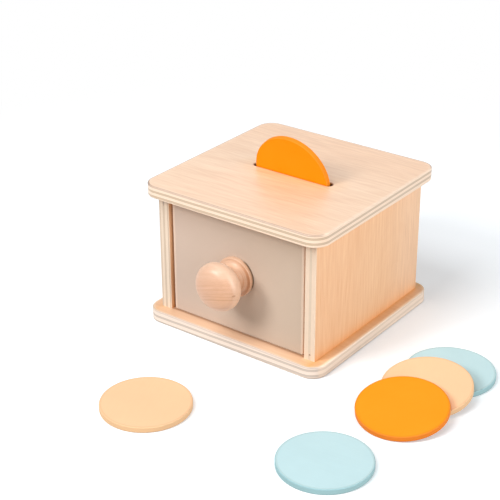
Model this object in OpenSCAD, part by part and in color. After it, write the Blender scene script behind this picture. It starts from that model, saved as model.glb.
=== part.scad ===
// Object permanence box: a plywood box with a coin slot in its lid, a drawer that
// catches the coin, a turned wooden knob and six wooden coins.
// Sizes are in millimetres. Z points up and the drawer faces -Y. The origin is the
// centre of the base's underside.

/* [Box] */
// Width of the base and the lid
box_w = 150; // [140:1:180]
// Depth of the base and the lid, front to back
box_d = 150; // [140:1:180]
// Height from the base's underside to the lid's top
box_h = 107; // [100:1:130]
// Thickness of the plywood of the base, the lid and the walls
ply_t = 9; // [8:0.5:12]
// How far the base and the lid stand out past the side walls
side_overhang = 8; // [4:0.5:12]
// How far they stand out past the front ends of the side walls
front_overhang = 9; // [4:0.5:14]
// How far they stand out past the back wall
back_overhang = 8; // [4:0.5:12]
// Radius of the corners of the base and the lid, seen from above
corner_r = 12; // [6:1:20]
// Rounding of the sanded edges
edge_r = 0.8; // [0.4:0.1:1.5]

/* [Coin slot] */
// Room in the slot on each face of the coin
slot_face_gap = 1.1; // [0.6:0.1:1.5]
// Room in the slot past each end of the coin
slot_end_gap = 2.75; // [2.5:0.25:4]
// Bevel round the slot's upper edge
slot_bevel = 0.4; // [0.2:0.1:0.8]
// How far the slot's middle lies to the right of the lid's middle
slot_shift = 1.2; // [-2:0.2:2]

/* [Dowels] */
// Diameter of the blind dowels between the walls and the panels
dowel_d = 4; // [3:0.5:5]
// Length of a dowel
dowel_l = 14; // [12:1:20]
// How deep a dowel sits in the base or the lid
dowel_in_panel = 5; // [4:0.5:6]
// Room round a dowel, on the radius
dowel_gap = 0.05; // [0.03:0.01:0.1]
// Room past each end of a dowel, for glue
dowel_end_gap = 0.5; // [0.2:0.1:1]
// Bevel on the ends of a dowel
dowel_bevel = 0.5; // [0.2:0.1:1]

/* [Drawer] */
// Thickness of the painted drawer front
front_t = 9; // [8:0.5:12]
// How far the drawer front sits back from the ends of the side walls
front_recess = 2; // [0:0.5:3]
// How much rounder the front's corners are, seen from the front, than its edges
front_corner_more = 0.6; // [0.4:0.1:2]
// Room between the drawer and each side wall
drawer_side_gap = 1.75; // [0.5:0.25:3]
// Room between the drawer front and the lid
drawer_top_gap = 1; // [0.5:0.25:3]
// Room between the drawer and the base
drawer_floor_gap = 0.3; // [0.2:0.1:0.6]
// Room between the drawer and the back wall
drawer_back_gap = 2; // [1:0.5:5]
// Thickness of the drawer's sides and back
drawer_side_t = 6; // [5:0.5:8]
// Height of the drawer's sides and back
drawer_side_h = 52; // [40:1:60]
// Thickness of the drawer's bottom
drawer_bottom_t = 3; // [2:0.5:4]
// Height of the bottom's groove above the lower edge of the sides
groove_up = 3; // [2:0.5:6]
// Depth of the bottom's groove in all four pieces
groove_depth = 2.5; // [1.5:0.5:3.5]
// Depth of the rebates in the front that take the sides
rebate_depth = 4; // [3:0.5:5]
// Depth of the housings in the sides that take the back
housing_depth = 2; // [1:0.5:3]
// How far the back is set in from the rear ends of the sides
back_set = 3; // [2:0.5:8]
// Room for glue between the drawer's pieces
glue_gap = 0.1; // [0.05:0.05:0.2]

/* [Knob] */
// Radius of the knob's head
head_r = 17.5; // [15:0.5:22]
// Thickness of the head at its rounded rim
head_t = 16; // [12:0.5:18]
// Radius of the curve of the head's domed face
dome_r = 36; // [28:1:60]
// Radius of the foot against the drawer front
foot_r = 14.5; // [12:0.5:18]
// Thickness of the foot
foot_t = 3.5; // [2.5:0.5:5]
// Radius of the neck at its narrowest
neck_r = 9; // [7:0.5:10]
// Length of the neck between the foot and the head
neck_l = 9; // [8:0.5:14]
// Step from the foot's rim in to the neck's wide ends
foot_step = 2.15; // [1:0.05:2.5]

/* [Knob screw] */
// Diameter of the screw's shank
screw_d = 4; // [3:0.5:5]
// Length of the screw under the face of its countersunk head
screw_l = 20; // [18:1:22]
// Diameter of the screw's head
screw_head_d = 8; // [7:0.5:9]
// Room round the shank in the drawer front, on the radius
screw_front_gap = 0.2; // [0.1:0.05:0.4]
// Room round the shank in the knob, on the radius
screw_knob_gap = 0.05; // [0.03:0.01:0.1]
// Depth of the knob's hole past the end of the screw
screw_end_gap = 1.5; // [0.5:0.5:2]
// How far the cross recess's ends stay in from the rim of the head
cross_in = 1.7; // [1.6:0.1:2.2]
// Width of the cross recess
cross_w = 0.9; // [0.6:0.1:1.2]
// Depth of the cross recess
cross_depth = 1.4; // [1:0.1:1.6]

/* [Coins] */
// Diameter of a coin
coin_d = 61; // [55:1:66]
// Thickness of a coin
coin_t = 4; // [3:0.5:5]
// Rounding of a coin's edges
coin_edge_r = 0.6; // [0.3:0.1:1]
// How far the coin in the slot stands out of the lid, along its face
coin_show = 30; // [20:1:36]
// How far the coin in the slot stands to the right of the slot's middle
coin_shift = 0.5; // [-0.5:0.1:0.5]
// Room left where the leaning coin comes nearest to the slot's walls
lean_gap = 0.2; // [0.1:0.05:0.3]
// Place of the cream coin's centre, left to right
cream_x = 2.4; // [-20:0.2:20]
// Gap from the lid's front edge to the cream coin
cream_ahead = 59; // [45:1:80]
// Gap from the lid's right edge to the front blue coin
blue_beside = 26; // [15:1:40]
// Gap from the lid's front edge to the front blue coin
blue_ahead = 43; // [35:1:60]
// Gap from the lid's right edge to the fanned coins
fan_beside = 36; // [25:1:50]
// How far the last coin of the fan lies in front of the box's middle
fan_forward = 12.6; // [0:0.2:20]
// Step from one fanned coin to the next
fan_step = 31; // [28:0.5:33]
// Room between fanned coins
fan_gap = 0.3; // [0.2:0.1:0.5]

/* [Hidden] */
$fn = 96;
// How far a cut runs past the face that it opens
overrun = 1;
// Place of the dowels along a wall, as a share of the wall's half length
dowel_place_share = 0.72;

wall_h = box_h - 2 * ply_t;
wall_out_x = box_w / 2 - side_overhang;
wall_in_x = wall_out_x - ply_t;
wall_front_y = front_overhang - box_d / 2;
wall_back_y = box_d / 2 - back_overhang;
wall_l = wall_back_y - wall_front_y;
cavity_back_y = wall_back_y - ply_t;
lid_z = box_h - ply_t;

dowel_r = dowel_d / 2;
dowel_in_wall = dowel_l - dowel_in_panel;
dowel_spots = [
    for (side = [-1, 1], along = [-1, 1])
        [side * (wall_in_x + ply_t / 2), wall_front_y + wall_l * (1 + along * dowel_place_share) / 2],
    for (along = [-1, 1])
        [along * wall_in_x * dowel_place_share, cavity_back_y + ply_t / 2]
];

drawer_w = 2 * (wall_in_x - drawer_side_gap);
drawer_z = ply_t + drawer_floor_gap;
front_h = wall_h - drawer_floor_gap - drawer_top_gap;
front_y = wall_front_y + front_recess;
front_back_y = front_y + front_t;
drawer_rear_y = cavity_back_y - drawer_back_gap;
side_front_y = front_back_y - rebate_depth + glue_gap;
side_in_x = drawer_w / 2 - drawer_side_t;
back_rear_y = drawer_rear_y - back_set;
back_front_y = back_rear_y - drawer_side_t;
bottom_z = drawer_z + groove_up;
bottom_reach = groove_depth - glue_gap;

knob_z = drawer_z + front_h / 2;
rim_r = head_t / 2;
head_start = foot_t + neck_l;
// The neck's hollow is an arc, a half circle at most, that ends on its wide radius
hollow_in = min(foot_r - foot_step - neck_r, neck_l / 2);
hollow_r = (pow(neck_l / 2, 2) + pow(hollow_in, 2)) / (2 * hollow_in);
neck_wide_r = neck_r + hollow_in;
head_middle = head_start + rim_r;
// The dome's curve runs into the rim's at this radius, with no edge between them
rim_centre_r = head_r - rim_r;
dome_edge_r = rim_centre_r + rim_r * rim_centre_r / (dome_r - rim_r);
dome_centre = head_middle - sqrt(pow(dome_r - rim_r, 2) - pow(rim_centre_r, 2));
screw_head_h = (screw_head_d - screw_d) / 2;
cross_l = screw_head_d - 2 * cross_in;
screw_in_knob = screw_l - front_t;

coin_r = coin_d / 2;
slot_w = coin_t + 2 * slot_face_gap;
slot_l = coin_d + 2 * slot_end_gap;
slot_wall_h = ply_t - slot_bevel;
slot_middle_z = lid_z + slot_wall_h / 2;
// The coin leans forward until it is near the top of the slot's front wall and the
// foot of its rear wall: coin_t + slot_wall_h * sin(lean) = lean_w * cos(lean)
lean_w = slot_w - 2 * lean_gap;
coin_lean = acos(coin_t / sqrt(pow(lean_w, 2) + pow(slot_wall_h, 2))) - atan(slot_wall_h / lean_w);
coin_up = (box_h - slot_middle_z) / cos(coin_lean) + coin_show - coin_r;
fan_x = box_w / 2 + fan_beside + coin_r;
fan_tilt = atan((coin_t + fan_gap) / fan_step);

// A rectangle with rounded corners, centred on X and standing on the X axis
module soft_rect(width, height, round_r) {
    translate([round_r - width / 2, 0])
        square([width - 2 * round_r, height]);
    translate([-width / 2, round_r])
        square([width, height - 2 * round_r]);
    for (side = [-1, 1], level = [round_r, height - round_r])
        translate([side * (width / 2 - round_r), level])
            circle(r = round_r);
}

// The right half of a soft rectangle, turned round the Z axis
module soft_disc(disc_r, thick, round_r) {
    rotate_extrude()
        intersection() {
            soft_rect(2 * disc_r, thick, round_r);
            square([disc_r, thick]);
        }
}

// A plate with rounded corners in plan and rounded edges all round
module soft_plate(width, depth, thick, plan_r, round_r) {
    translate([0, depth / 2 - plan_r, 0])
        rotate([90, 0, 0])
            linear_extrude(depth - 2 * plan_r)
                soft_rect(width, thick, round_r);
    translate([plan_r - width / 2, 0, 0])
        rotate([90, 0, 90])
            linear_extrude(width - 2 * plan_r)
                soft_rect(depth, thick, round_r);
    for (side = [-1, 1], end = [-1, 1])
        translate([side * (width / 2 - plan_r), end * (depth / 2 - plan_r), 0])
            soft_disc(plan_r, thick, round_r);
}

// The bores for the dowels at a joint; each reaches into the panel on its panel side
module dowel_bores(joint_z, panel_side) {
    for (spot = dowel_spots)
        translate([spot.x, spot.y, joint_z])
            rotate([panel_side > 0 ? 0 : 180, 0, 0])
                translate([0, 0, -dowel_in_wall - dowel_end_gap])
                    cylinder(r = dowel_r + dowel_gap, h = dowel_l + 2 * dowel_end_gap);
}

// The dowels at a joint
module dowels(joint_z, panel_side) {
    for (spot = dowel_spots)
        translate([spot.x, spot.y, joint_z])
            rotate([panel_side > 0 ? 0 : 180, 0, 0])
                translate([0, 0, -dowel_in_wall])
                    dowel();
}

module dowel() {
    translate([0, 0, dowel_bevel])
        cylinder(r = dowel_r, h = dowel_l - 2 * dowel_bevel);
    cylinder(r1 = dowel_r - dowel_bevel, r2 = dowel_r, h = dowel_bevel);
    translate([0, 0, dowel_l - dowel_bevel])
        cylinder(r1 = dowel_r, r2 = dowel_r - dowel_bevel, h = dowel_bevel);
}

module all_dowel_bores() {
    dowel_bores(ply_t, -1);
    dowel_bores(lid_z, 1);
}

module base_panel() {
    color("burlywood")
        difference() {
            soft_plate(box_w, box_d, ply_t, corner_r, edge_r);
            dowel_bores(ply_t, -1);
        }
}

module top_panel() {
    color("wheat")
        difference() {
            translate([0, 0, lid_z])
                soft_plate(box_w, box_d, ply_t, corner_r, edge_r);
            dowel_bores(lid_z, 1);
            coin_slot();
        }
}

// The slot through the lid, bevelled above, with the round ends that a cutter leaves
module coin_slot() {
    run = slot_l - slot_w;
    bevel_top = slot_bevel + overrun;
    translate([slot_shift, 0, lid_z]) {
        translate([-run / 2, -slot_w / 2, -overrun])
            cube([run, slot_w, ply_t + overrun]);
        translate([-run / 2, 0, slot_wall_h])
            rotate([90, 0, 90])
                linear_extrude(run)
                    polygon([[-slot_w / 2, 0], [slot_w / 2, 0],
                             [slot_w / 2 + bevel_top, bevel_top], [-slot_w / 2 - bevel_top, bevel_top]]);
        for (side = [-1, 1])
            translate([side * run / 2, 0, 0]) {
                translate([0, 0, -overrun])
                    cylinder(d = slot_w, h = ply_t + overrun);
                translate([0, 0, slot_wall_h])
                    cylinder(r1 = slot_w / 2, r2 = slot_w / 2 + bevel_top, h = bevel_top);
            }
    }
}

// A side wall, standing between the base and the lid
module side_wall(side) {
    color("burlywood")
        difference() {
            translate([side * (wall_in_x + ply_t / 2), wall_front_y, ply_t])
                linear_extrude(wall_h)
                    soft_rect(ply_t, wall_l, edge_r);
            all_dowel_bores();
        }
}

module left_wall() {
    side_wall(-1);
}

module right_wall() {
    side_wall(1);
}

// The back wall, between the side walls and flush with their rear ends
module back_wall() {
    color("burlywood")
        difference() {
            translate([-wall_in_x, cavity_back_y, ply_t])
                cube([2 * wall_in_x, ply_t, wall_h]);
            all_dowel_bores();
        }
}

module base_dowels() {
    color("tan")
        dowels(ply_t, -1);
}

module lid_dowels() {
    color("tan")
        dowels(lid_z, 1);
}

// The painted front, rebated for the sides and grooved for the bottom
module drawer_front() {
    side_top_z = drawer_z + drawer_side_h + glue_gap;
    color([0.83, 0.74, 0.66])
        difference() {
            translate([0, front_back_y, knob_z])
                rotate([90, 0, 0])
                    soft_plate(drawer_w, front_h, front_t, edge_r + front_corner_more, edge_r);
            for (side = [0, 1])
                mirror([side, 0, 0])
                    translate([side_in_x - glue_gap, front_back_y - rebate_depth, drawer_z - overrun])
                        cube([drawer_side_t + glue_gap + overrun, rebate_depth + overrun,
                              side_top_z - drawer_z + overrun]);
            drawer_groove();
            knob_hole();
        }
}

// The groove for the bottom, cut into the front, the sides and the back alike
module drawer_groove() {
    translate([-side_in_x - groove_depth, front_back_y - groove_depth, bottom_z - glue_gap])
        cube([2 * (side_in_x + groove_depth), back_front_y - front_back_y + 2 * groove_depth,
              drawer_bottom_t + 2 * glue_gap]);
}

// The countersunk hole for the knob's screw, from inside the drawer
module knob_hole() {
    hole_r = screw_d / 2 + screw_front_gap;
    translate([0, front_y - overrun, knob_z])
        rotate([-90, 0, 0])
            cylinder(r = hole_r, h = front_t + 2 * overrun);
    translate([0, front_back_y - screw_head_h - screw_front_gap, knob_z])
        rotate([-90, 0, 0])
            cylinder(r1 = hole_r, r2 = hole_r + screw_head_h + screw_front_gap,
                     h = screw_head_h + screw_front_gap);
}

// A drawer side: rebated into the front, grooved for the bottom, housed for the back
module drawer_side(side) {
    side_l = drawer_rear_y - side_front_y;
    color("tan")
        difference() {
            translate([side * (drawer_w - drawer_side_t) / 2, drawer_rear_y, drawer_z])
                rotate([90, 0, 0])
                    linear_extrude(side_l)
                        soft_rect(drawer_side_t, drawer_side_h, edge_r);
            drawer_groove();
            translate([-side_in_x - housing_depth, back_front_y - glue_gap, drawer_z - overrun])
                cube([2 * (side_in_x + housing_depth), drawer_side_t + 2 * glue_gap,
                      drawer_side_h + 2 * overrun]);
        }
}

module drawer_left_side() {
    drawer_side(-1);
}

module drawer_right_side() {
    drawer_side(1);
}

module drawer_back() {
    back_w = 2 * (side_in_x + housing_depth - glue_gap);
    color("tan")
        difference() {
            translate([-back_w / 2, back_front_y + drawer_side_t / 2, drawer_z])
                rotate([90, 0, 90])
                    linear_extrude(back_w)
                        soft_rect(drawer_side_t, drawer_side_h, edge_r);
            drawer_groove();
        }
}

module drawer_bottom() {
    color("wheat")
        translate([-side_in_x - bottom_reach, front_back_y - bottom_reach, bottom_z])
            cube([2 * (side_in_x + bottom_reach), back_front_y - front_back_y + 2 * bottom_reach,
                  drawer_bottom_t]);
}

// The knob's outline, from its axis outward; the foot stands on the X axis
module knob_outline() {
    intersection() {
        soft_rect(2 * foot_r, foot_t, edge_r);
        square([foot_r, foot_t]);
    }
    difference() {
        square([neck_wide_r, head_middle]);
        translate([neck_r + hollow_r, foot_t + neck_l / 2])
            circle(r = hollow_r);
    }
    translate([0, head_start])
        square([rim_centre_r, rim_r]);
    translate([rim_centre_r, head_middle])
        circle(r = rim_r);
    intersection() {
        translate([0, dome_centre])
            circle(r = dome_r);
        translate([0, head_middle])
            square([dome_edge_r, head_t]);
    }
}

module knob() {
    hole_l = screw_in_knob + screw_end_gap;
    color("sandybrown")
        translate([0, front_y, knob_z])
            rotate([90, 0, 0])
                difference() {
                    rotate_extrude()
                        knob_outline();
                    translate([0, 0, -overrun])
                        cylinder(r = screw_d / 2 + screw_knob_gap, h = hole_l + overrun);
                }
}

module knob_screw() {
    color("silver")
        translate([0, front_back_y, knob_z])
            rotate([90, 0, 0])
                difference() {
                    union() {
                        cylinder(d1 = screw_head_d, d2 = screw_d, h = screw_head_h);
                        cylinder(d = screw_d, h = screw_l);
                    }
                    for (turn = [0, 90])
                        rotate([0, 0, turn])
                            translate([-cross_l / 2, -cross_w / 2, -overrun])
                                cube([cross_l, cross_w, cross_depth + overrun]);
                }
}

// A coin lying on its underside
module coin() {
    soft_disc(coin_r, coin_t, coin_edge_r);
}

// The coin in the slot, leaning forward
module slot_coin() {
    color("darkorange")
        translate([slot_shift + coin_shift, 0, slot_middle_z])
            rotate([coin_lean, 0, 0])
                translate([0, coin_t / 2, coin_up])
                    rotate([90, 0, 0])
                        coin();
}

module cream_coin() {
    color("navajowhite")
        translate([cream_x, -box_d / 2 - cream_ahead - coin_r, 0])
            coin();
}

module blue_coin() {
    color("lightblue")
        translate([box_w / 2 + blue_beside + coin_r, -box_d / 2 - blue_ahead - coin_r, 0])
            coin();
}

// A coin that leans on the one behind it, with its front edge on the floor
module leaning_coin(place) {
    translate([fan_x, -fan_forward - place * fan_step - coin_r, 0])
        rotate([fan_tilt, 0, 0])
            translate([0, coin_r, 0])
                coin();
}

module fan_blue_coin() {
    color("lightblue")
        translate([fan_x, -fan_forward, 0])
            coin();
}

module fan_cream_coin() {
    color("navajowhite")
        leaning_coin(1);
}

module fan_orange_coin() {
    color("orange")
        leaning_coin(2);
}

base_panel();
top_panel();
left_wall();
right_wall();
back_wall();
base_dowels();
lid_dowels();
drawer_front();
drawer_left_side();
drawer_right_side();
drawer_back();
drawer_bottom();
knob();
knob_screw();
slot_coin();
cream_coin();
blue_coin();
fan_blue_coin();
fan_cream_coin();
fan_orange_coin();
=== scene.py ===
"""Looks of the object permanence box: plywood panels, a painted drawer front, a turned
knob and painted wooden coins. Patterns are worked out in millimetres of the part's frame."""

from math import cos, e, radians, sin

import bpy
import numpy as np
from mathutils import Matrix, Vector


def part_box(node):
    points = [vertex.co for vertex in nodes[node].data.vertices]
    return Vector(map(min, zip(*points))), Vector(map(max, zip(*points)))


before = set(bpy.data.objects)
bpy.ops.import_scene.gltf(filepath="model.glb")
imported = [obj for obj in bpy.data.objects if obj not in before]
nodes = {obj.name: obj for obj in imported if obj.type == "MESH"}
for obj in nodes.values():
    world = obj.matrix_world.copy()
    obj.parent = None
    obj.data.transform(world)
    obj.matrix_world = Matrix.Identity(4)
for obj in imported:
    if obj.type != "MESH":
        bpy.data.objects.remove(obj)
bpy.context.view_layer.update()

MM = 0.001
X, Y, Z = range(3)


def ends_of(node, axis):
    """A node's lowest and highest place on an axis, in millimetres."""
    return [corner[axis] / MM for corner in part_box(node)]


# Half the box's width and depth, the thickness of its plywood and where its pieces lie
BOX_W, BOX_D, PLY = (ends_of("base_panel", axis)[1] for axis in (X, Y, Z))
LID_LOW, LID_TOP = ends_of("top_panel", Z)
WALL_IN, WALL_OUT = ends_of("right_wall", X)
BACK_IN, BACK_OUT = ends_of("back_wall", Y)
FRONT_HALF = ends_of("drawer_front", X)[1]
FRONT_FACE = ends_of("drawer_front", Y)[0]
KNOB_MIDDLE = sum(ends_of("knob", Z)) / 2

# The radii of the knob's foot and the panels' corners, and a coin's radius and thickness
KNOB_FOOT, CORNER = 14.5, 12.0
COIN_R, COIN_T = 30.5, 4.0

# The slot along X: the radius of its round ends, how far their centres lie from its
# middle, and where its middle is
SLOT_R, SLOT_HALF, SLOT_MIDDLE = 3.1, 30.1, 1.2

# How far the coins are turned about X from lying flat, in the slot and in the fan
SLOT_LEAN, FAN_LEAN = radians(101.3), radians(7.9)


class Flow:
    """A shader socket used as a number: an expression on it adds the nodes."""

    def __init__(self, socket):
        self.socket = socket
        self.tree = socket.id_data

    def node(self, kind, settings=None, feeds=None, out=0):
        """Add a node: its settings first, a ramp's stops among them, then its inputs."""
        made = self.tree.nodes.new(kind)
        for key, value in (settings or {}).items():
            if key == "stops":
                ramp = made.color_ramp
                while len(ramp.elements) < len(value):
                    ramp.elements.new(0.5)
                for stop, (place, tone) in zip(ramp.elements, value):
                    stop.position = place
                    stop.color = (*tone, 1)
            else:
                setattr(made, key, value)
        for key, value in (feeds or {}).items():
            if isinstance(value, Flow):
                self.tree.links.new(value.socket, made.inputs[key])
            else:
                made.inputs[key].default_value = value
        return Flow(made.outputs[out])

    def math(self, operation, first, second=0.0):
        """Add a Math node of two values."""
        return self.node("ShaderNodeMath", {"operation": operation}, {0: first, 1: second})

    def __add__(self, other):
        return self.math("ADD", self, other)

    def __sub__(self, other):
        return self.math("SUBTRACT", self, other)

    def __rsub__(self, other):
        return self.math("SUBTRACT", other, self)

    def __mul__(self, other):
        return self.math("MULTIPLY", self, other)

    def __pow__(self, other):
        return self.math("POWER", self, other)

    def __rpow__(self, other):
        return self.math("POWER", other, self)

    def __rtruediv__(self, other):
        return self.math("DIVIDE", other, self)

    def __abs__(self):
        return self.math("ABSOLUTE", self)

    __radd__ = __add__
    __rmul__ = __mul__


def rise(value, low, high):
    """A soft step from 0 where the value is at low to 1 where it is at high."""
    return value.node("ShaderNodeMapRange", {"interpolation_type": "SMOOTHSTEP"},
                      {"Value": value, "From Min": low, "From Max": high})


def fall(value, low, high):
    """A soft step from 1 where the value is at low to 0 where it is at high."""
    return 1 - rise(value, low, high)


def decay(gap, reach):
    """1 at no distance, falling by the factor e for each reach of distance."""
    return e ** (abs(gap) * (-1 / reach))


def mixed(factor, first, second, blend="MIX"):
    """Two colours mixed by a factor from 0, the first, to 1, the second blended in."""
    feeds = {0: factor}
    for slot, tone in ((6, first), (7, second)):
        feeds[slot] = tone if isinstance(tone, Flow) else (*tone, 1)
    return factor.node("ShaderNodeMix", {"data_type": "RGBA", "blend_type": blend}, feeds, 2)


def tinted(base, factor):
    """A colour made lighter or darker by a factor near 1."""
    scale = factor.node("ShaderNodeCombineXYZ", None, {0: factor, 1: factor, 2: factor})
    return factor.node("ShaderNodeVectorMath", {"operation": "MULTIPLY"}, {0: base, 1: scale})


def noise(x, y, z, detail=2.0, roughness=0.5):
    """Smooth noise from -0.5 to 0.5 at a place given by three numbers, one unit a grain."""
    flow = next(part for part in (x, y, z) if isinstance(part, Flow))
    place = flow.node("ShaderNodeCombineXYZ", None, {0: x, 1: y, 2: z})
    return flow.node("ShaderNodeTexNoise", None,
                     {"Vector": place, "Scale": 1.0, "Detail": detail, "Roughness": roughness}) - 0.5


def spot(place, centre, reach, soft=0.6):
    """1 inside an ellipsoid round a centre and 0 outside it, with a soft rim."""
    parts = [((axis - middle) * (1 / length)) ** 2 for axis, middle, length in zip(place, centre, reach)]
    return fall(parts[0] + parts[1] + parts[2], soft, 1.0)


def outside(x, y, half_x, half_y):
    """How far a place lies outside a rectangle round the middle, given its half sides: the
    root of the squares of the two ways past them, each counted as 0 within."""
    past = abs(x) - half_x, abs(y) - half_y
    aside, ahead = [part.math("MAXIMUM", part, 0.0) for part in past]
    return (aside ** 2 + ahead ** 2) ** 0.5


def rounded_reach(x, y):
    """How far a place lies outside the rectangle through the centres of the corners."""
    return outside(x, y, BOX_W - CORNER, BOX_D - CORNER)


def begin(name, roughness, specular=0.4):
    """A new material, its shader, and the place in millimetres along X, Y and Z."""
    made = bpy.data.materials.new(name)
    made.use_nodes = True
    tree = made.node_tree
    shader = tree.nodes["Principled BSDF"]
    shader.inputs["Roughness"].default_value = roughness
    shader.inputs["Specular IOR Level"].default_value = specular
    source = Flow(tree.nodes.new("ShaderNodeTexCoord").outputs["Object"])
    apart = source.node("ShaderNodeSeparateXYZ", None, {0: source}).socket.node
    return made, shader, [Flow(apart.outputs[axis]) * (1 / MM) for axis in (X, Y, Z)]


def finish_surface(shader, base, height, depth, roughness):
    """Feed the colour, the relief in millimetres and the varying roughness."""
    links = base.tree.links
    bump = base.node("ShaderNodeBump", None, {"Strength": 1.0, "Distance": depth * MM, "Height": height})
    links.new(base.socket, shader.inputs["Base Color"])
    links.new(bump.socket, shader.inputs["Normal"])
    links.new(roughness.socket, shader.inputs["Roughness"])


def timber(along, across, deep, seed, heart=0.0, far=45.0, climb=0.22, fine=0.6):
    """Wood as a solid. Its rings are noise along the distance to a pith, the root of the
    squares of the way across from the heart line and of the pith's depth. The depth
    grows along the grain, so a flat face cuts the rings in long arches. Fine fibres,
    short flecks and a soft cloud are noise drawn out along the grain."""
    wander = noise(along * 0.011, across * 0.022, deep * 0.03 + seed, 2.0)
    pith = ((across - heart) ** 2 + (along * climb + far) ** 2) ** 0.5 + wander * 11.0
    rings = noise(pith * 0.26 + seed, along * 0.006, across * 0.012 + deep * 0.1, 4.0, 0.6)
    run = across + wander * 8.0
    fibres = noise(along * 0.03, run * fine, deep * fine + seed, 4.0, 0.62)
    flecks = rise(noise(along * 0.3, run * 2.6, deep * 2.6 + seed, 1.0), 0.15, 0.27)
    cloud = noise(along * 0.014, across * 0.03, deep * 0.03 + seed * 1.7, 2.0)
    return rings, fibres, flecks, cloud


def veneer(grain_parts, pale, dark, figure=(1.8, 0.7, 0.6)):
    """The colour of a sanded face: from dark to pale by the sum of its rings, fibres and
    cloud, each as strong as the figure says, and a touch darker in the flecks."""
    rings, fibres, flecks, cloud = grain_parts
    tone = 0.52 + rings * figure[0] + fibres * figure[1] + cloud * figure[2]
    face = mixed(tone, dark, pale)
    return tinted(face, 1 + fibres * 0.07 - flecks * 0.05)


def ply_edge(share, x, y, z, cuts, tilt, plies):
    """The cut edge of plywood. The share runs from 0 at one face to 1 at the other, and
    pale plies take turns with darker cross plies between the cuts, where thin glue
    lines show. The plies drift a little over the panel, by the tilt along X and Y."""
    pale, dark, glue = plies
    seat = share + x * tilt + y * tilt + noise(x * 0.03, y * 0.03, z * 0.03, 2.0) * 0.05
    stops = [(0.0, pale)]
    for number, cut in enumerate(cuts):
        before, after = (pale, dark) if number % 2 == 0 else (dark, pale)
        stops += [(cut - 0.026, before), (cut - 0.006, glue), (cut + 0.006, glue), (cut + 0.026, after)]
    base = share.node("ShaderNodeValToRGB", {"stops": stops}, {0: seat})
    streaks = noise(x * 0.12, y * 0.12, z * 1.2 + 7.0, 3.0, 0.65)
    pores = noise(x * 1.6, y * 1.6, z * 1.6, 2.0, 0.6)
    return tinted(base, 1 + streaks * 0.14 + pores * 0.1)


def painted_joint_shade(face, place, flat, joints):
    """A face darkened and warmed beside each joint on it, as painted shade and bounce light.
    Each fades with the distance from its level on an axis, as the mean of one decay and a
    decay of four times its reach. One with a span ends that far to either side of the middle."""
    for axis, level, strength, reach, tone, *span in joints:
        gap = place[axis] - level
        near = (decay(gap, reach) + decay(gap, reach * 4)) * 0.5 * strength
        if span:
            near = near * fall(abs(place[3 - flat - axis]), span[0] - 0.6, span[0])
        # painted shade: the face darkens towards the joint's tone near its level
        face = mixed(near, face, tone, "MULTIPLY")
    return face


def darkened_arrises(base, place, top, dark_arrises):
    """Wood darkened along its upper arrises, where the way in from the rounded outline and
    the way down from the top add up to less than about a millimetre. Each dark line lies on
    one side, given by its axis, its way along it, how far out it is and its strength."""
    x, y, z = place
    inward = (CORNER - rounded_reach(x, y)) + (top - z)
    for axis, way, side, strength in dark_arrises:
        here = rise(place[axis] * way, side - CORNER * 0.75, side - CORNER * 0.4)
        base = mixed(fall(inward, 0.7, 1.4) * here * strength, base, (0.5, 0.42, 0.38), "MULTIPLY")
    return base


def painted_foot_shade(base, x, z, strength):
    """Painted light and shade at the base's edge by the ground: the right side is lighter and
    warmer as painted bounce light, and the lowest millimetre is darker as a painted contact
    shadow, the more so the further right it is."""
    # painted bounce light: the right edge lighter and warmer
    base = mixed(rise(x, BOX_W - 3.0, BOX_W - 0.9) * 0.5, base, (1, 0.82, 0.65))
    # painted contact shadow along the lowest millimetre
    near = fall(z, 0.5, 1.5) * (rise(x, 58, 74) * 0.6 + 0.35)
    return mixed(near * strength, base, (0.6, 0.56, 0.52), "MULTIPLY")


def painted_slot_shade_and_glow(base, x, y, z, top):
    """Painted shade and a painted glow on the lid by the slot, by the gap to it, which is the
    way outside the line through the middles of its round ends, less their radius. A painted
    shadow line lies along the bevel, a painted warm reflection of the coin lies on the face
    round it for 16 mm, and painted shade darkens the slot's walls below the bevel."""
    gap = outside(x - SLOT_MIDDLE, y, SLOT_HALF, 0.0) - SLOT_R
    # painted shadow line along the slot's bevel
    base = mixed(fall(gap, 0.6, 1.1) * 0.85, base, (0.5, 0.3, 0.16), "MULTIPLY")
    # painted warm reflection of the orange coin on the face round the slot
    base = mixed(fall(gap, 3.0, 16.0) * 0.4, base, (1, 0.9, 0.7), "MULTIPLY")
    # painted shade on the slot's walls
    walls = fall(gap, 0.1, 0.4) * fall(z, top - 1.4, top - 0.5)
    return mixed(walls * 0.9, base, (0.35, 0.17, 0.1), "MULTIPLY")


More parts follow.
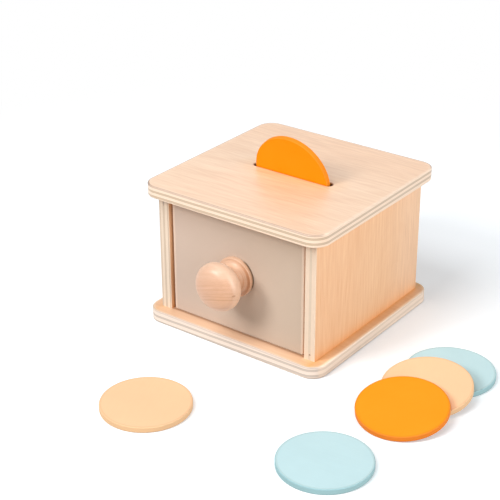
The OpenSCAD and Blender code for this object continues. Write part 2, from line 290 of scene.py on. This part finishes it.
def plywood(name, flat, grain, levels, tones, plies, cuts, seed, tilt=0.0, wood=None,
            figure=(1.0, 1.1, 0.5), coat=0.0, rear=None, rim=None, joints=(), dark_arrises=(),
            foot=0.0, slot_shading=False, marks=()):
    """Lacquered plywood between two levels on its flat axis. Its share of the thickness
    tells the face veneer, with its grain along one axis, from the plies of its cut
    edges. The face takes another tone towards a rear end and on a paler rim near its
    outline, and takes painted shade beside each joint. Dark arrises, painted shade at the
    foot, painted shade and glow by a slot and a few marks then lie over it all."""
    made, shader, place = begin(name, LACQUER_ROUGHNESS)
    shader.inputs["Coat Weight"].default_value = coat
    shader.inputs["Coat Roughness"].default_value = COAT_ROUGHNESS
    shader.inputs["Coat IOR"].default_value = COAT_IOR
    x, y, z = place
    low, high = levels
    share = (place[flat] - low) * (1 / (high - low))
    parts = timber(place[grain], place[3 - flat - grain], place[flat], seed, **(wood or {}))
    fibres, flecks = parts[1:3]
    face = veneer(parts, *tones, figure)
    if rear:
        back = rise(y, *REAR_RISE)
        face = tinted(mixed(back * 0.4, face, rear), 1 + back * fibres * 0.3)
    if rim:
        start, strength, tone = rim
        face = mixed(rise(rounded_reach(x, y), start, CORNER) * strength, face, tone)
    face = painted_joint_shade(face, place, flat, joints)
    if flat == Z:
        edge = ply_edge(1 - share, x, y, z, cuts, tilt, plies)
    else:
        edge = ply_edge(share, y, z, x, cuts, tilt, plies)
    base = mixed(fall(abs(share - 0.5), 0.484, 0.494), face, edge)
    if dark_arrises:
        base = darkened_arrises(base, place, high, dark_arrises)
    if foot:
        base = painted_foot_shade(base, x, z, foot)
    if slot_shading:
        base = painted_slot_shade_and_glow(base, x, y, z, high)
    for centre, reach, stain, strength in marks:
        base = mixed(spot(place, centre, reach) * strength, base, stain)
    finish_surface(shader, base, fibres * 0.6 - flecks * 0.5, 0.04,
                   LACQUER_ROUGHNESS + fibres * 0.12 + flecks * 0.08)
    return made


def paint(name, tone, seed, grain, across, over, amount=0.025, roughness=0.58, specular=0.14):
    """Matte paint rolled on wood. Its tone mottles by an amount, with a fine peel, and with
    the grain just felt below, turned by an angle that the seed gives. What is the
    piece's own is laid over that by a function of the colour and the place."""
    made, shader, place = begin(name, roughness, specular)
    x, y, z = place
    turn = radians(seed * 37 % 180)
    along = place[grain] * cos(turn) + place[across] * sin(turn)
    side = place[across] * cos(turn) - place[grain] * sin(turn)
    mottle = noise(x * 0.045 + seed, y * 0.045, z * 0.045, 3.0, 0.55)
    fibres = noise(along * 0.05, side * 0.9, place[3 - grain - across] * 0.9 + seed, 3.0, 0.6)
    peel = noise(x * 1.6, y * 1.6, z * 1.6 + seed, 2.0)
    pale = tuple(min(1.0, part * (1 + amount) + amount * 0.15) for part in tone)
    deepened = tuple(part * (1 - amount) for part in tone)
    base = over(mixed(0.5 + mottle * 1.6 + fibres * 0.7, deepened, pale), x, y, z)
    finish_surface(shader, base, fibres * 0.6 + peel * 0.4, 0.03, roughness + mottle * 0.12 + peel * 0.08)
    return made


def knob_shadow_side(x, z):
    """Where the painted shadow round the knob's foot lies: right of the knob's axis, and from a
    little below it upwards, with soft ends."""
    return rise(x, 5.0, 9.0) * rise(z - KNOB_MIDDLE, -9.0, -4.0)


def front_painted_light(base, x, y, z):
    """Painted light and shade on the drawer front: the paint deepens evenly from left to right
    as a painted light gradient, a painted shadow lies dark round the knob's foot, and the two
    ends and the strips by them are paler, which stands in as painted light on the right end
    that lies in the shade of its gap."""
    # painted light: darker and warmer from left to right
    base = mixed(0.5 + x * (0.5 / FRONT_HALF), base, (0.93, 0.94, 0.89), "MULTIPLY")
    # painted shadow round the knob's foot
    seam_shadow = fall((x ** 2 + (z - KNOB_MIDDLE) ** 2) ** 0.5, KNOB_FOOT, KNOB_FOOT + 0.5) * knob_shadow_side(x, z)
    base = mixed(seam_shadow * 0.85, base, (0.16, 0.09, 0.05))
    inward = FRONT_HALF - abs(x)
    # paler ends: painted light in the gaps by the walls
    return mixed(fall(inward, 1.4, 2.6) * 0.45 + fall(inward, 0.1, 0.4) * 0.3, base, (0.9, 0.72, 0.58))


def coin_rim(middle, lean, rim_tone, line):
    """A coin's own, by its middle and its lean. Up and out are the ways in and out of its
    plane, turned by the lean, and the radius is the root of the squares of X and up. By
    the rim the paint takes another tone, and where the way out is near half the
    thickness too, a faint line marks the arris."""
    def over(base, x, y, z):
        up = (y - middle[Y]) * cos(lean) + (z - middle[Z]) * sin(lean)
        out = (z - middle[Z]) * cos(lean) - (y - middle[Y]) * sin(lean)
        radius = ((x - middle[X]) ** 2 + up ** 2) ** 0.5
        base = mixed(rise(radius, COIN_R - 0.75, COIN_R - 0.2), base, rim_tone)
        arris = fall(abs(radius - COIN_R + 0.9), 0.3, 0.9)
        arris = arris * rise(abs(out), COIN_T / 2 - 0.6, COIN_T / 2 - 0.2)
        return mixed(arris * line, base, (0.5, 0.5, 0.42), "MULTIPLY")
    return over


def turned_wood(name):
    """The knob's wood, its fibres along X. A level is the height over the knob's axis, less
    a share of the way to the right and more by a share of the way to the rear, and the
    rings are wide ovals about a pith high above, so they cross the face as near level
    lines. Two of them are dark, a band below these is streaked, and a pin knot lies
    beside them. The lower part is paler as painted bounce light, the upper part paler as a
    painted highlight, and the head's edge paler as a painted reflection. Turning lines run
    round the neck, its right side over the end grain is darker as painted shade, and a
    painted shadow lies where its foot meets the front."""
    made, shader, (x, y, z) = begin(name, KNOB_ROUGHNESS, 0.45)
    shader.inputs["Coat Roughness"].default_value = 0.36
    shader.inputs["Sheen Weight"].default_value = 0.35
    shader.inputs["Sheen Roughness"].default_value = 0.35
    shader.inputs["Sheen Tint"].default_value = (1, 0.93, 0.83, 1)
    wander = noise(x * 0.03, y * 0.05, z * 0.06, 2.0)
    level = z - KNOB_MIDDLE + x * LEVEL_RIGHT + (y - LEVEL_FRONT) * LEVEL_REAR
    ring = ((PITH_LEVEL - level) ** 2 + (x - 4) ** 2 * 0.1) ** 0.5 + wander * 3.0
    rings = noise(ring * 0.5, x * 0.012, y * 0.03, 4.0, 0.6)
    fibres = noise(x * 0.07, y * 1.2, ring * 1.3, 3.0, 0.6)
    flecks = rise(noise(x * 0.25, y * 2.4, z * 2.4, 1.0), 0.13, 0.26)
    face = mixed(0.55 + rings * 1.5 + fibres * 0.6, *KNOB_TONES)
    dark_ring = fall(abs(level - DARK_RING + wander * 1.5 + fibres * 0.6), 0.15, 0.9)
    upper_ring = fall(abs(level - UPPER_RING + wander * 1.5), 0.1, 0.7)
    face = mixed((dark_ring * 0.8 + upper_ring * 0.35) * rise(x, -12, -4), face, (0.45, 0.22, 0.11))
    # painted bounce light: the lower part paler
    face = mixed(fall(level, -8.0, 0.0) * 0.4, face, (0.82, 0.52, 0.345))
    streaked = fall(level, -10.1, -7.1) * rise(level, -15.1, -12.1)
    face = mixed(streaked * (0.1 + rings * 3.0), face, (0.55, 0.29, 0.16))
    # painted highlight: the upper part paler
    face = mixed(rise(level, 4.0, 12.0) * 0.35, face, (0.78, 0.54, 0.4))
    radius = (x ** 2 + (z - KNOB_MIDDLE) ** 2) ** 0.5
    # painted reflection: the head's edge paler
    face = mixed(rise(radius, *HEAD_REFLECTION_RADII) * 0.45, face, (0.84, 0.62, 0.47))
    knot = spot((x, y, z), (16.3, -89.1, KNOB_MIDDLE - 0.3), (0.8, 6.0, 0.7))
    face = mixed(knot * 0.65, face, (0.42, 0.2, 0.1))
    forward = FRONT_FACE - y
    neck = fall(forward, *NECK_END)
    lathe = noise(y * 1.1, 0.5, 0.5, 2.0, 0.7) * neck
    # painted shade on the neck's right side, over its end grain
    end_grain_shade = rise(x * (1 / (radius + 1)), 0.2, 0.95) * neck
    face = mixed(neck * 0.6, face, (0.66, 0.435, 0.295))
    face = mixed(end_grain_shade * (0.4 + lathe * 5.0), face, (0.74, 0.58, 0.46), "MULTIPLY")
    face = tinted(face, 1 + fibres * 0.08 - flecks * 0.05 + lathe * 0.45)
    # painted shadow where the foot meets the drawer front
    seam_shadow = fall(forward, 0.9, 1.9) * knob_shadow_side(x, z)
    face = mixed(seam_shadow * 0.8, face, (0.18, 0.09, 0.04))
    finish_surface(shader, face, fibres * 0.5 - flecks * 0.5 + lathe * 1.2, 0.06,
                   KNOB_ROUGHNESS + fibres * 0.12 + lathe * 0.1)
    face.tree.links.new((0.4 - neck * 0.4).socket, shader.inputs["Coat Weight"])
    return made


def plain_wood(name, grain, tones, seed):
    """Bare sanded wood of the drawer and the dowels, its grain along one axis."""
    made, shader, place = begin(name, BARE_ROUGHNESS)
    cross, deep = [axis for axis in (X, Y, Z) if axis != grain]
    parts = timber(place[grain], place[cross], place[deep], seed, seed, 38.0, 0.12)
    fibres, flecks = parts[1:3]
    finish_surface(shader, veneer(parts, *tones), fibres * 0.6 - flecks * 0.8, 0.06,
                   BARE_ROUGHNESS + fibres * 0.12)
    return made


def screw_steel(name):
    """Plated steel: noise packed close along Y makes turning marks, and a soft cloud makes
    the polish a little uneven."""
    made, shader, (x, y, z) = begin(name, STEEL_ROUGHNESS, 0.5)
    shader.inputs["Metallic"].default_value = 1.0
    marks = noise(x * 0.6, y * 9.0, z * 0.6, 2.0, 0.6)
    cloud = noise(x * 0.5, y * 0.5, z * 0.5 + 3.0, 2.0)
    base = mixed(0.5 + cloud, *STEEL_TONES)
    finish_surface(shader, base, marks, 0.02, STEEL_ROUGHNESS + cloud * 0.15 + marks * 0.1)
    return made


def dress(node, made):
    """Give a CAD node's object one material all over."""
    for holder in nodes[node].material_slots:
        holder.material = made


LACQUER_ROUGHNESS, KNOB_ROUGHNESS, BARE_ROUGHNESS, STEEL_ROUGHNESS = 0.46, 0.4, 0.6, 0.3
COAT_ROUGHNESS, COAT_IOR = 0.42, 1.7

# The places along Y between which a panel takes on its rear tone
REAR_RISE = 10.0, 62.0

# The tones of a face are its pale and its dark wood
LID_TONES = (0.887, 0.641, 0.45), (0.787, 0.514, 0.333)
BASE_TONES = (0.835, 0.583, 0.41), (0.74, 0.465, 0.292)
WALL_TONES = (0.93, 0.63, 0.395), (0.83, 0.49, 0.27)
DRAWER_TONES = (0.88, 0.68, 0.46), (0.76, 0.54, 0.34)
BOTTOM_TONES = (0.9, 0.7, 0.49), (0.8, 0.58, 0.38)
DOWEL_TONES = (0.86, 0.68, 0.46), (0.72, 0.52, 0.32)
# These two run from dark to pale
KNOB_TONES = (0.57, 0.315, 0.18), (0.7, 0.43, 0.295)
STEEL_TONES = (0.56, 0.56, 0.58), (0.7, 0.7, 0.71)

# The tones of an edge are its pale plies, its dark plies and the glue between them
LID_PLIES = (0.905, 0.722, 0.565), (0.585, 0.44, 0.3), (0.52, 0.385, 0.26)
BASE_PLIES = (0.89, 0.785, 0.7), (0.63, 0.557, 0.497), (0.58, 0.47, 0.385)
WALL_PLIES = (0.81, 0.69, 0.565), (0.66, 0.54, 0.425), (0.57, 0.45, 0.34)
RIGHT_PLIES = (0.81, 0.665, 0.53), (0.7, 0.59, 0.47), (0.66, 0.55, 0.43)

# Where the glue lines lie, as shares of the thickness
LID_CUTS = (0.235, 0.385, 0.635, 0.785)
BASE_CUTS = (0.2, 0.35, 0.675, 0.825)
WALL_CUTS = (0.05, 0.165, 0.43, 0.57, 0.87, 0.93)
RIGHT_CUTS = (0.43, 0.6)

# The knob's rings: a level's change for each millimetre to the right and to the rear,
# the front that it is counted from, and the levels of the pith and the two dark rings
LEVEL_RIGHT, LEVEL_REAR, LEVEL_FRONT = -0.298, 0.397, -93.0
PITH_LEVEL, DARK_RING, UPPER_RING = 90.0, -6.6, -4.2

# The knob: the radii between which the head's edge gets a paler painted reflection, and
# where the neck ends in front of the drawer's face
HEAD_REFLECTION_RADII, NECK_END = (15.6, 17.2), (12.0, 15.0)

FRONT_PAINT = (0.608, 0.488, 0.411)
ORANGE, ORANGE_RIM = (0.95, 0.31, 0.009), (0.84, 0.245, 0.025)
SLOT_ORANGE, SLOT_ORANGE_RIM = (0.95, 0.28, 0.0015), (0.9, 0.275, 0.02)
CREAM, CREAM_RIM = (0.93, 0.572, 0.34), (0.82, 0.55, 0.32)
BLUE, BLUE_RIM = (0.51, 0.71, 0.752), (0.34, 0.56, 0.61)

# Painted shade and warm bounce light where a wall meets the base, fading up the wall
wall_foot_shade = (Z, PLY, 1.0, 3.0, (0.93, 0.71, 0.5))

# The lid: its slot carries painted shade and a painted glow of the coin
dress("top_panel", plywood(
    "lid_plywood", Z, X, (LID_LOW, LID_TOP), LID_TONES, LID_PLIES, LID_CUTS, 3.0, 0.00083,
    {"heart": 18.0, "far": 52.0, "climb": 0.2, "fine": 0.42}, (1.3, 2.6, 0.5), coat=1.0,
    rear=(0.8, 0.48, 0.29), rim=(9.0, 0.55, (0.92, 0.73, 0.57)), slot_shading=True,
    dark_arrises=((Y, -1, BOX_D, 0.85), (Y, 1, BOX_D, 1.0), (X, -1, BOX_W, 1.0))))
dress("base_panel", plywood(
    "base_plywood", Z, X, (0, PLY), BASE_TONES, BASE_PLIES, BASE_CUTS, 11.0, 0.00147,
    {"heart": -30.0, "far": 40.0, "climb": 0.15}, rim=(9.4, 0.9, (0.885, 0.785, 0.685)),
    # painted shade and warm bounce light on the base beside the walls, and a painted contact shadow under
    # the drawer front
    joints=((X, WALL_OUT, 0.95, 3.0, (1, 0.8, 0.45)), (X, -WALL_OUT, 0.5, 3.0, (1, 0.8, 0.45)),
            (Y, FRONT_FACE - 0.4, 1.0, 0.5, (0.42, 0.33, 0.27), WALL_IN)),
    dark_arrises=((Y, -1, BOX_D, 0.5),), foot=0.8))
dress("right_wall", plywood(
    "right_wall_plywood", X, Z, (WALL_IN, WALL_OUT), WALL_TONES, RIGHT_PLIES, RIGHT_CUTS, 5.0,
    wood={"heart": 34.0, "far": 20.0, "climb": 0.32, "fine": 0.75}, figure=(0.8, 1.8, 0.5),
    rear=(0.93, 0.695, 0.525), joints=(wall_foot_shade,),
    marks=(((63.0, -66.0, 13.2), (0.8, 1.2, 0.7), (0.3, 0.16, 0.1), 0.8),)))
dress("left_wall", plywood(
    "left_wall_plywood", X, Z, (-WALL_OUT, -WALL_IN), WALL_TONES, WALL_PLIES, WALL_CUTS, 17.0,
    wood={"heart": -20.0, "far": 34.0, "climb": 0.25},
    # the second one is painted shade on the inner face, seen in the gap beside the drawer
    joints=(wall_foot_shade, (X, -WALL_IN, 0.3, 0.05, (0.6, 0.46, 0.37))),
    marks=(((-62.4, -66.0, 91.7), (0.8, 1.5, 2.4), (0.42, 0.35, 0.3), 0.75),)))
dress("back_wall", plywood(
    "back_wall_plywood", Y, Z, (BACK_IN, BACK_OUT), WALL_TONES, WALL_PLIES, WALL_CUTS, 23.0,
    wood={"heart": 12.0, "far": 30.0, "climb": 0.3}, joints=(wall_foot_shade,)))
for node, finish, grain, tones, seed in (
        ("base_dowels", "dowel_wood_base_dowels", Z, DOWEL_TONES, 2.0),
        ("lid_dowels", "dowel_wood_lid_dowels", Z, DOWEL_TONES, 2.0),
        ("drawer_left_side", "drawer_left_side_wood", Y, DRAWER_TONES, 31.0),
        ("drawer_right_side", "drawer_right_side_wood", Y, DRAWER_TONES, 38.0),
        ("drawer_back", "drawer_back_wood", X, DRAWER_TONES, 43.0),
        ("drawer_bottom", "drawer_bottom_wood", X, BOTTOM_TONES, 47.0)):
    dress(node, plain_wood(finish, grain, tones, seed))
dress("drawer_front", paint("front_paint", FRONT_PAINT, 1.0, X, Z, front_painted_light, 0.015, 0.5, 0.3))
dress("knob", turned_wood("knob_wood"))
dress("knob_screw", screw_steel("screw_steel"))


def coin(node, tone, rim_tone, seed, lean=0.0, specular=0.14, line=0.2):
    """Paint a coin, given how far it is turned about X from lying flat."""
    middle = [sum(ends_of(node, axis)) / 2 for axis in (X, Y, Z)]
    across = Z if lean > 1 else Y
    dress(node, paint(node + "_paint", tone, seed, X, across, coin_rim(middle, lean, rim_tone, line),
                      specular=specular))


coin("slot_coin", SLOT_ORANGE, SLOT_ORANGE_RIM, 2.0, SLOT_LEAN, 0.05, 0.1)
coin("cream_coin", CREAM, CREAM_RIM, 3.0)
coin("blue_coin", BLUE, BLUE_RIM, 5.0)
coin("fan_blue_coin", BLUE, BLUE_RIM, 8.0)
coin("fan_cream_coin", CREAM, CREAM_RIM, 13.0, FAN_LEAN)
coin("fan_orange_coin", ORANGE, ORANGE_RIM, 21.0, FAN_LEAN)


def floor_disc(radius, level, rings, spokes):
    """A round floor: its points lie at even shares of the radius on each spoke, and one in
    the middle closes it."""
    share = np.linspace(0, 1, rings + 1)[1:]
    angle = np.linspace(0, 2 * np.pi, spokes, endpoint=False)
    reach, turn = np.meshgrid(share * radius, angle, indexing="ij")
    points = np.stack([reach * np.cos(turn), reach * np.sin(turn), reach * 0 + level], -1).reshape(-1, 3)
    points = np.vstack([points, [[0, 0, level]]])
    ring, spoke = np.meshgrid(np.arange(rings - 1), np.arange(spokes), indexing="ij")
    after = (spoke + 1) % spokes
    quads = np.stack([ring * spokes + spoke, (ring + 1) * spokes + spoke,
                      (ring + 1) * spokes + after, ring * spokes + after], -1).reshape(-1, 4)
    start = np.arange(spokes)
    middle = np.stack([np.full(spokes, len(points) - 1), start, (start + 1) % spokes], -1)
    mesh = bpy.data.meshes.new("floor")
    mesh.from_pydata(points.tolist(), [], quads.tolist() + middle.tolist())
    made = bpy.data.objects.new("floor", mesh)
    bpy.context.scene.collection.objects.link(made)
    return made


def white_ray(tree):
    """1 for a ray that the camera, a gloss or a clear material sends, and 0 otherwise."""
    path = tree.nodes.new("ShaderNodeLightPath").outputs
    return Flow(path["Is Camera Ray"]) + Flow(path["Is Glossy Ray"]) + Flow(path["Is Transmission Ray"])


def pale_floor(name, paper, lift):
    """Pale paper that the camera sees lit, lifted by a glow, with a painted shade along the
    box's right side. From 230 to 520 mm out it turns to plain white for the camera."""
    made, shader, (x, y, z) = begin(name, 0.9, 0.1)
    tree = made.node_tree
    seen = white_ray(tree)
    tone = tinted(paper, 1 + noise(x * 0.5, y * 0.5, z, 2.0) * 0.04)
    tone = mixed(seen, tone, (0.905, 0.955, 1))
    # painted shade on the floor beside the box's right side
    painted_box_shade = decay(outside(x, y, BOX_W, BOX_D), 22.0) * rise(x, 60.0, BOX_W)
    tone = mixed(painted_box_shade * 0.6, tone, (0.78, 0.7, 0.66), "MULTIPLY")
    tree.links.new(tone.socket, shader.inputs["Base Color"])
    glow = seen.node("ShaderNodeEmission", None, {"Color": mixed(seen * lift, (0, 0, 0), (1, 1, 1))})
    lit = glow.node("ShaderNodeAddShader", None, {0: Flow(shader.outputs["BSDF"]), 1: glow})
    far = rise((x ** 2 + y ** 2) ** 0.5, 230, 520)
    white = seen.node("ShaderNodeEmission")
    surface = lit.node("ShaderNodeMixShader", None, {0: far * seen, 1: lit, 2: white})
    tree.links.new(surface.socket, tree.nodes["Material Output"].inputs["Surface"])
    return made


# The floor lies a little below the underside of the base, so that the two never coincide
floor = floor_disc(6.0, -0.2 * MM, 24, 96)
floor.data.materials.append(pale_floor("pale_floor", (0.48, 0.41, 0.355), 0.21))


def lamp(name, way, distance, size, power, tint=(1, 1, 1)):
    """A square area lamp, a distance away from the box in a direction. It faces the box:
    tipped by its angle from upright, and turned by its angle round the upright."""
    data = bpy.data.lights.new(name, "AREA")
    data.shape = "SQUARE"
    data.size = size
    data.energy = power
    data.color = tint
    made = bpy.data.objects.new(name, data)
    bpy.context.scene.collection.objects.link(made)
    back = np.array(way, float) / np.linalg.norm(way)
    made.location = back * distance + (0, 0, 0.05)
    made.rotation_euler = (float(np.arctan2(np.hypot(back[0], back[1]), back[2])), 0,
                           float(np.arctan2(back[1], back[0]) + np.pi / 2))
    return made


lamp("key", (-0.345, -0.745, 0.572), 2.05, 0.64, 23.9, (1, 0.985, 0.965))
lamp("fill", (1.9, -0.35, 0.75), 2.07, 1.4, 27.8, (1, 0.98, 0.955))
lamp("high", (-0.12, -0.56, 1), 2.1, 0.8, 15.7)

# The room is white to the camera and in gloss, and lights the object by its own share
ROOM_LIGHT = 0.28
world = bpy.data.worlds.new("white_room")
bpy.context.scene.world = world
world.use_nodes = True
room = world.node_tree
backdrop = room.nodes["Background"].inputs
backdrop["Color"].default_value = (1, 1, 1, 1)
room.links.new((white_ray(room) * (1 - ROOM_LIGHT) + ROOM_LIGHT).socket, backdrop["Strength"])


# The focal length in pixels was fitted on a picture of this width
FOCAL_PIXELS, PICTURE_PIXELS, SENSOR = 1336.257, 500, 36


def fitted_camera(azimuth, elevation, roll, distance, target):
    """A camera on a sphere round its target: azimuth turns it from the front to the right,
    elevation lifts it, and the roll turns it about its line of sight."""
    around, lift, tip = radians(azimuth), radians(elevation), radians(roll)
    back = np.array([sin(around) * cos(lift), -cos(around) * cos(lift), sin(lift)])
    right = np.array([cos(around), sin(around), 0.0])
    up = np.cross(back, right)
    data = bpy.data.cameras.new("camera")
    data.sensor_width = SENSOR
    data.lens = FOCAL_PIXELS / PICTURE_PIXELS * SENSOR
    data.clip_end = 50
    made = bpy.data.objects.new("camera", data)
    bpy.context.scene.collection.objects.link(made)
    rows = np.eye(4)
    rows[:3, 0] = right * cos(tip) + up * sin(tip)
    rows[:3, 1] = up * cos(tip) - right * sin(tip)
    rows[:3, 2] = back
    rows[:3, 3] = np.array(target) + back * distance
    made.matrix_world = Matrix(rows.tolist())
    return made


bpy.context.scene.camera = fitted_camera(37.06, 26.415, -0.255, 0.9906, (-0.036767, 0, 0.036296))
bpy.context.scene.view_settings.view_transform = "Standard"
